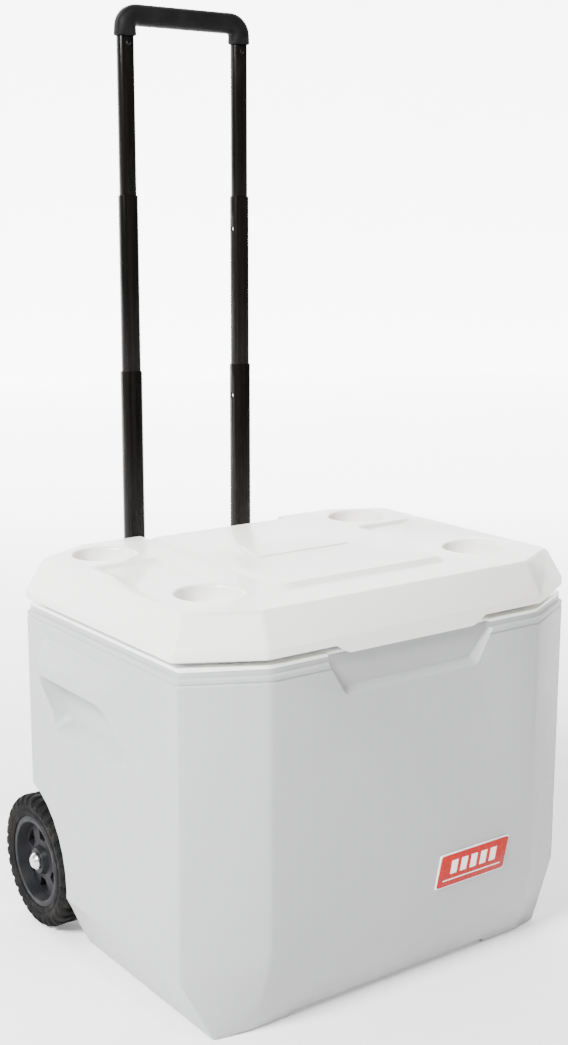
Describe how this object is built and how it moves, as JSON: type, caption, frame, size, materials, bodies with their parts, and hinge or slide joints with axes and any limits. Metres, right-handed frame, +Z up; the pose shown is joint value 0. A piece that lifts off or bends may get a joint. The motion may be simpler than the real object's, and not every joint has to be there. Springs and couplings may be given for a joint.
{
  "type": "wheeled cooler",
  "caption": "Insulated cooler box with a hinged lid, recessed cup holders, end grips, rear wheels on an axle and a telescoping pull handle.",
  "frame": {"origin": "centre of the bounding box's footprint, on the ground that the runners and wheels stand on", "axes": "+X to the right end seen from the front, +Y to the back where the handle and wheels are, +Z up"},
  "size_m": [0.6, 0.492, 1.143],
  "materials": {
    "lid_white": "satin moulded plastic, warm white",
    "tub_white": "satin moulded plastic, cool white",
    "liner_white": "smooth white food liner",
    "foam": "rigid insulating foam, cream",
    "tube_black": "black satin anodised",
    "black_plastic": "black moulded plastic",
    "grip_black": "soft matte black",
    "tyre_black": "textured black tread",
    "rim_black": "satin black",
    "steel": "zinc plated",
    "badge_red": "gloss red",
    "badge_white": "gloss white",
    "seal_rubber": "matte black"
  },
  "bodies": {
    "tub": {"tub_shell": "tub_white", "tub_liner": "liner_white", "tub_foam": "foam", "hinge_base_left": "tub_white", "hinge_base_right": "tub_white", "hinge_pin_left": "steel", "hinge_pin_right": "steel", "axle": "steel", "axle_cap_left": "steel", "axle_cap_right": "steel", "axle_washer_left": "steel", "axle_washer_right": "steel", "axle_saddle_left": "black_plastic", "axle_saddle_right": "black_plastic", "handle_sleeve_left": "tube_black", "handle_sleeve_right": "tube_black", "handle_bracket_upper": "black_plastic", "handle_bracket_lower": "black_plastic", "bracket_screw_1": "steel", "bracket_screw_2": "steel", "bracket_screw_3": "steel", "bracket_screw_4": "steel", "bracket_screw_5": "steel", "bracket_screw_6": "steel", "bracket_screw_7": "steel", "bracket_screw_8": "steel", "badge_plate": "badge_white", "badge_inlay": "badge_red", "drain_spout": "black_plastic", "drain_nut": "black_plastic", "drain_gasket": "seal_rubber"},
    "lid": {"lid_shell": "lid_white", "lid_pan": "liner_white", "lid_foam": "foam", "hinge_leaf_left": "tub_white", "hinge_leaf_right": "tub_white"},
    "wheel_left": {"wheel_rim_left": "rim_black", "wheel_tyre_left": "tyre_black"},
    "wheel_right": {"wheel_rim_right": "rim_black", "wheel_tyre_right": "tyre_black"},
    "handle_lower": {"handle_tube_lower_left": "tube_black", "handle_tube_lower_right": "tube_black"},
    "handle_middle": {"handle_tube_middle_left": "tube_black", "handle_tube_middle_right": "tube_black"},
    "handle_upper": {"handle_tube_upper_left": "tube_black", "handle_tube_upper_right": "tube_black", "handle_grip": "grip_black", "grip_rivet_left": "tube_black", "grip_rivet_right": "tube_black"},
    "cap": {"drain_cap": "black_plastic"},
    "button_low_left": {"lock_button_low_left": "steel"},
    "button_low_right": {"lock_button_low_right": "steel"},
    "button_middle_left": {"lock_button_middle_left": "steel"},
    "button_middle_right": {"lock_button_middle_right": "steel"},
    "button_high_left": {"lock_button_high_left": "steel"},
    "button_high_right": {"lock_button_high_right": "steel"}
  },
  "joints": [
    {"name": "lid_hinge", "type": "hinge", "parent": "tub", "child": "lid", "pos_m": [0, 0.183, 0.43], "axis": [-1, 0, 0], "range_deg": [0, 62]},
    {"name": "wheel_left_spin", "type": "hinge", "parent": "tub", "child": "wheel_left", "pos_m": [-0.25, 0.161, 0.085], "axis": [1, 0, 0], "continuous": true},
    {"name": "wheel_right_spin", "type": "hinge", "parent": "tub", "child": "wheel_right", "pos_m": [0.25, 0.161, 0.085], "axis": [1, 0, 0], "continuous": true},
    {"name": "handle_lower_slide", "type": "slide", "parent": "tub", "child": "handle_lower", "axis": [0, 0, 1], "range_m": [-0.258, 0]},
    {"name": "handle_middle_slide", "type": "slide", "parent": "handle_lower", "child": "handle_middle", "axis": [0, 0, 1], "range_m": [-0.218, 0]},
    {"name": "handle_upper_slide", "type": "slide", "parent": "handle_middle", "child": "handle_upper", "axis": [0, 0, 1], "range_m": [-0.179, 0]},
    {"name": "button_low_left_press", "type": "slide", "parent": "handle_lower", "child": "button_low_left", "axis": [-1, 0, 0], "range_m": [0, 0.002], "stiffness_N_per_m": 300},
    {"name": "button_low_right_press", "type": "slide", "parent": "handle_lower", "child": "button_low_right", "axis": [1, 0, 0], "range_m": [0, 0.002], "stiffness_N_per_m": 300},
    {"name": "button_middle_left_press", "type": "slide", "parent": "handle_middle", "child": "button_middle_left", "axis": [-1, 0, 0], "range_m": [0, 0.002], "stiffness_N_per_m": 300},
    {"name": "button_middle_right_press", "type": "slide", "parent": "handle_middle", "child": "button_middle_right", "axis": [1, 0, 0], "range_m": [0, 0.002], "stiffness_N_per_m": 300},
    {"name": "button_high_left_press", "type": "slide", "parent": "handle_upper", "child": "button_high_left", "axis": [-1, 0, 0], "range_m": [0, 0.002], "stiffness_N_per_m": 300},
    {"name": "button_high_right_press", "type": "slide", "parent": "handle_upper", "child": "button_high_right", "axis": [1, 0, 0], "range_m": [0, 0.002], "stiffness_N_per_m": 300},
    {"name": "cap_turn", "type": "hinge", "parent": "tub", "child": "cap", "pos_m": [0.277, -0.139, 0.076], "axis": [1, 0, 0], "range_deg": [0, 90]}
  ]
}
